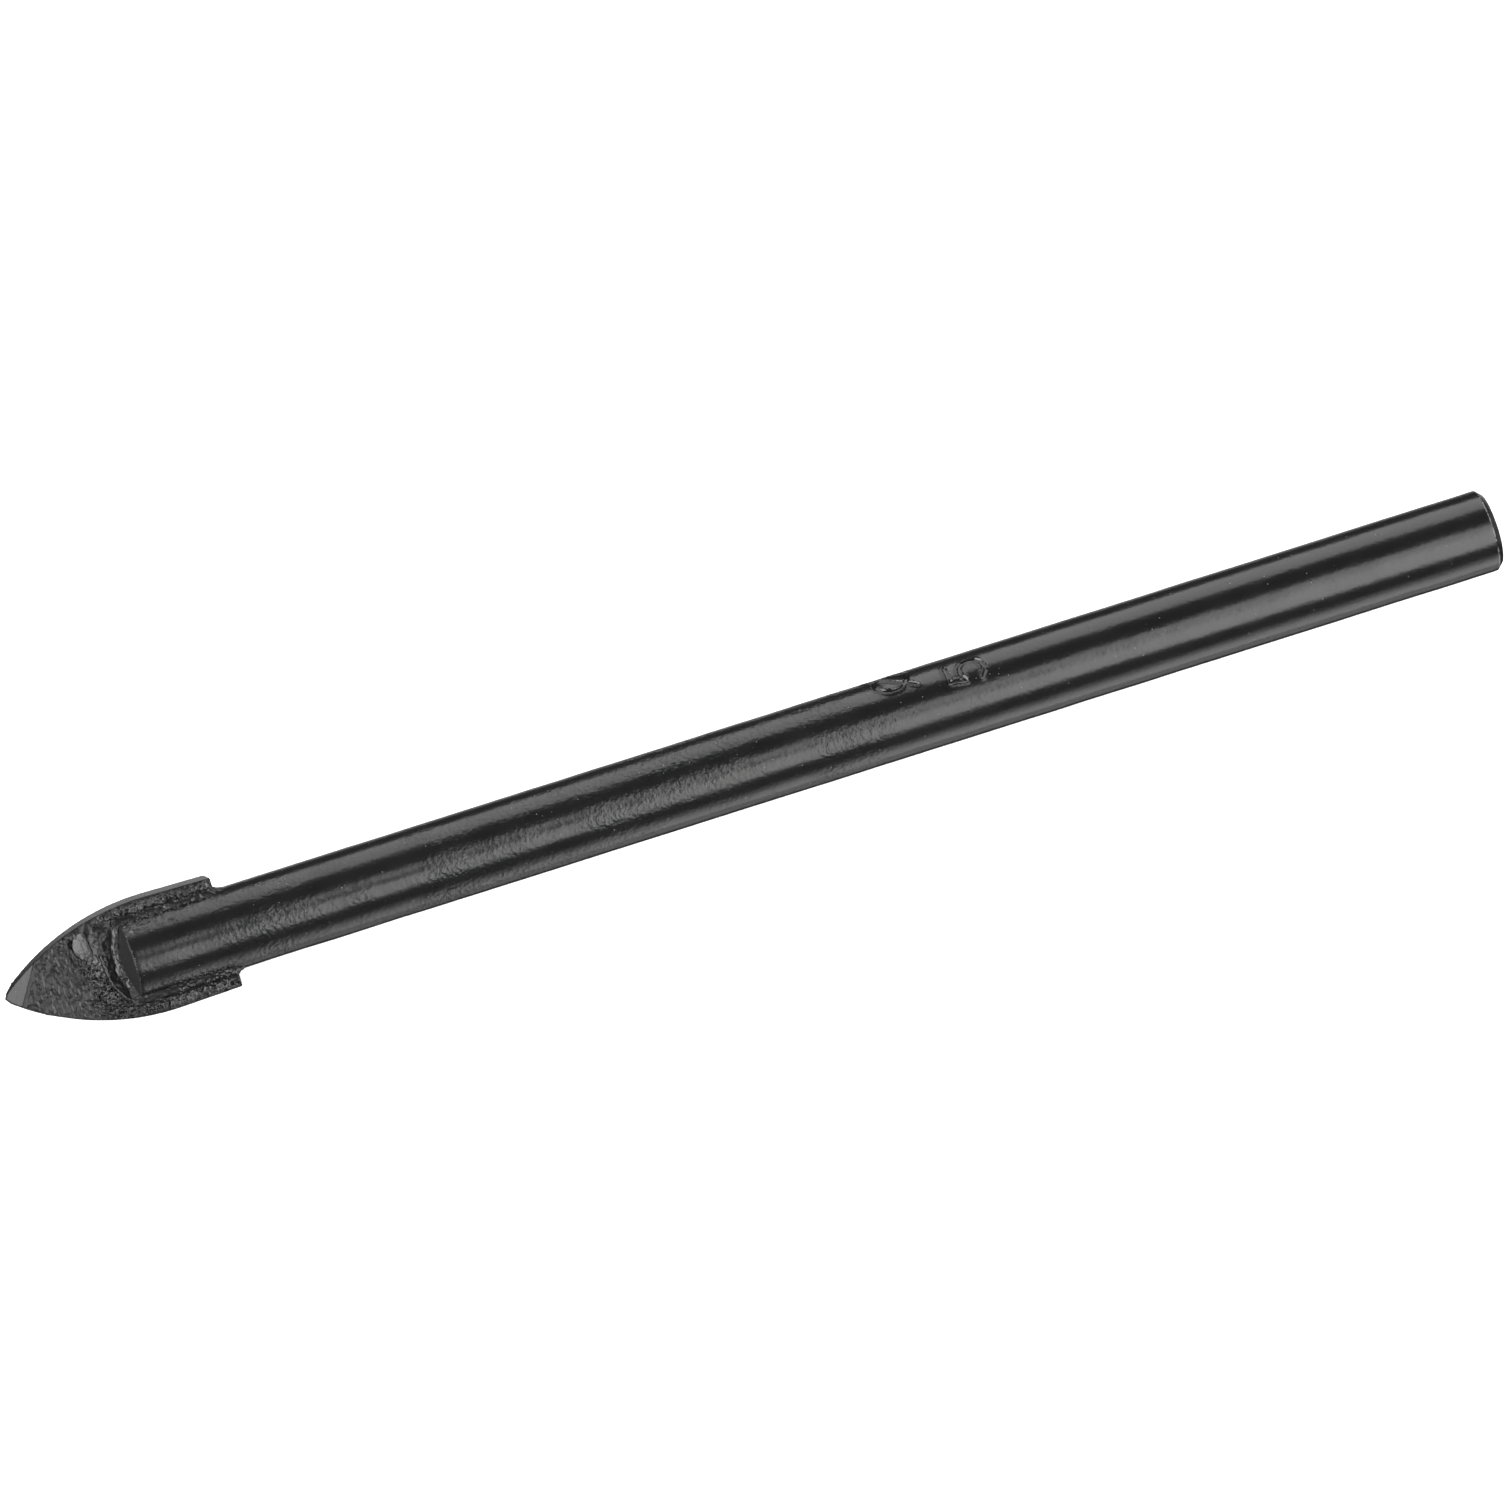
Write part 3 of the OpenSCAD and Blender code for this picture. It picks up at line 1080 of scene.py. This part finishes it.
def black_filler():
    """Blackened filler metal, a little warmer than the steel."""
    finish = Finish("black_filler")
    cloudy = finish.noise(per_mm=2.2)
    fine = finish.noise(per_mm=16)
    dust_and_glints = finish.specks(per_mm=5.5, size=0.14)
    colour = finish.mixed(cloudy, grey(0.004, warm=0.02), grey(0.010, warm=0.02))
    # Light specks in the colour: grey dust, and painted glints
    colour = finish.mixed(dust_and_glints * fine.between(0.45, 0.6), colour, grey(0.14))
    roughness = 0.22 + 0.10 * cloudy + 0.08 * fine
    normal = finish.bumped(fine + dust_and_glints * 0.5, strength=0.8, depth=0.006)
    return finish.done(colour, roughness, normal)


# Studio

AZIMUTH = math.radians(-20.3)
ELEVATION = math.radians(58.9)
LENS = 1000
SENSOR = 36
# Width of the picture at the bit, in metres
FIELD = 0.0629
NEAREST = 0.01
FARTHEST = 20
# Middle of the picture: a place on the axis, then up the picture
AIM = Vector((0.0002, 0, SHANK_R * MM))
AIM_UP = 0.00029
FLOOR_SIZE = 8
PAPER_GREY = 0.9
PAPER_GLOW = 0.55
STUDIO_GREY = 0.07
BACKDROP_GREY = 0.95
# Panels of light: the turn in degrees from the front horizon over the top, the reach from the X axis,
# the size, the radiance, the lean to the side in degrees, and the shift along X. Lengths are in metres.
LIGHTS = {
    "front softbox": (33.7, 0.6, (0.6, 0.335), 4.7, 0, 0.36),
    "front strip": (55, 0.3, (0.3, 0.061), 4.9, 0, 0.214),
    "front upper softbox": (68.1, 0.6, (0.6, 0.15), 3.5, 0, 0.37),
    "rear strip": (145, 0.6, (0.6, 0.49), 2.9, 0, 0.36),
    "lower card": (-43, 0.6, (0.6, 0.28), 2.4, 0, 0.37),
    "lower front card": (-24, 0.6, (0.6, 0.11), 1.1, 0, 0.37),
    "lower edge card": (-69, 0.6, (0.6, 0.25), 0.7, 0, 0.36),
    "rear lower card": (222, 0.6, (1.0, 0.3), 0.58, 0, 0.50),
    "side softbox": (78, 0.7, (0.5, 0.8), 7.0, -42, 0),
    "butt card": (-120, 0.6, (0.35, 0.35), 0.42, 80, 0),
    # These light the sides that the camera doesn't see
    "front left softbox": (40, 0.6, (0.56, 0.34), 0.9, 0, -0.29),
    "rear left strip": (140, 0.6, (0.6, 0.45), 2.2, 0, -0.265),
    "lower left card": (-36, 0.6, (0.6, 0.41), 1.5, 0, -0.40),
    "rear lower left card": (264, 0.6, (0.6, 0.36), 1.4, 0, -0.36),
    "far end softbox": (70, 0.7, (0.3, 0.9), 1.6, 66, 0),
}


def make_camera():
    level = math.cos(ELEVATION)
    back = Vector((math.sin(AZIMUTH) * level, -math.cos(AZIMUTH) * level, math.sin(ELEVATION)))
    turn = (-back).to_track_quat("-Z", "Y")
    distance = FIELD * LENS / SENSOR
    place = AIM + back * distance + turn @ Vector((0, AIM_UP, 0))
    bpy.ops.object.camera_add(location=place, rotation=turn.to_euler())
    camera = bpy.context.active_object
    camera.data.lens = LENS
    camera.data.sensor_width = SENSOR
    camera.data.clip_start = NEAREST
    camera.data.clip_end = FARTHEST
    bpy.context.scene.camera = camera


def make_light(name, turn, reach, size, radiance, lean, along):
    """A panel of light that faces the X axis and that the camera doesn't see."""
    turn = math.radians(turn)
    lean = math.radians(lean)
    out = Vector((math.sin(lean), -math.cos(lean) * math.cos(turn), math.cos(lean) * math.sin(turn)))
    level = (Vector((1, 0, 0)) - out * out.x).normalized()
    facing = Matrix((level, out.cross(level), out)).transposed()
    place = out * reach + Vector((along, 0, 0))
    bpy.ops.object.light_add(type="AREA", location=place, rotation=facing.to_euler())
    light = bpy.context.active_object
    light.name = name
    light.data.shape = "RECTANGLE"
    light.data.size, light.data.size_y = size
    light.data.energy = radiance * math.pi * size[0] * size[1]
    light.visible_camera = False


def make_floor():
    """White paper under the bit, which isn't mirrored in it."""
    bpy.ops.mesh.primitive_plane_add(size=FLOOR_SIZE, location=(0, 0, 0))
    floor = added("floor")
    paper = bpy.data.materials.new("paper")
    paper.use_nodes = True
    shader = paper.node_tree.nodes["Principled BSDF"]
    shader.inputs["Base Color"].default_value = grey(PAPER_GREY)
    shader.inputs["Roughness"].default_value = 1
    shader.inputs["Specular IOR Level"].default_value = 0
    shader.inputs["Emission Color"].default_value = grey(1)
    shader.inputs["Emission Strength"].default_value = PAPER_GLOW
    floor.data.materials.append(paper)
    floor.visible_glossy = False
    floor.visible_shadow = False


def make_world():
    """A dark studio round the bit, with a light backdrop where the camera looks past the floor."""
    world = bpy.data.worlds.new("studio")
    bpy.context.scene.world = world
    world.use_nodes = True
    tree = world.node_tree
    studio = tree.nodes["Background"]
    studio.inputs["Color"].default_value = grey(STUDIO_GREY)
    backdrop = tree.nodes.new("ShaderNodeBackground")
    backdrop.inputs["Color"].default_value = grey(BACKDROP_GREY)
    path = tree.nodes.new("ShaderNodeLightPath")
    choice = tree.nodes.new("ShaderNodeMixShader")
    tree.links.new(path.outputs["Is Camera Ray"], choice.inputs[0])
    tree.links.new(studio.outputs[0], choice.inputs[1])
    tree.links.new(backdrop.outputs[0], choice.inputs[2])
    tree.links.new(choice.outputs[0], tree.nodes["World Output"].inputs["Surface"])
    bpy.context.scene.view_settings.view_transform = "Standard"


make_camera()
make_floor()
for light_name, light_settings in LIGHTS.items():
    make_light(light_name, *light_settings)
make_world()
finished(make_shank(), "shank", black_steel())
finished(make_plate(), "carbide_tip", black_carbide())
finished(make_braze(), "braze", black_filler())
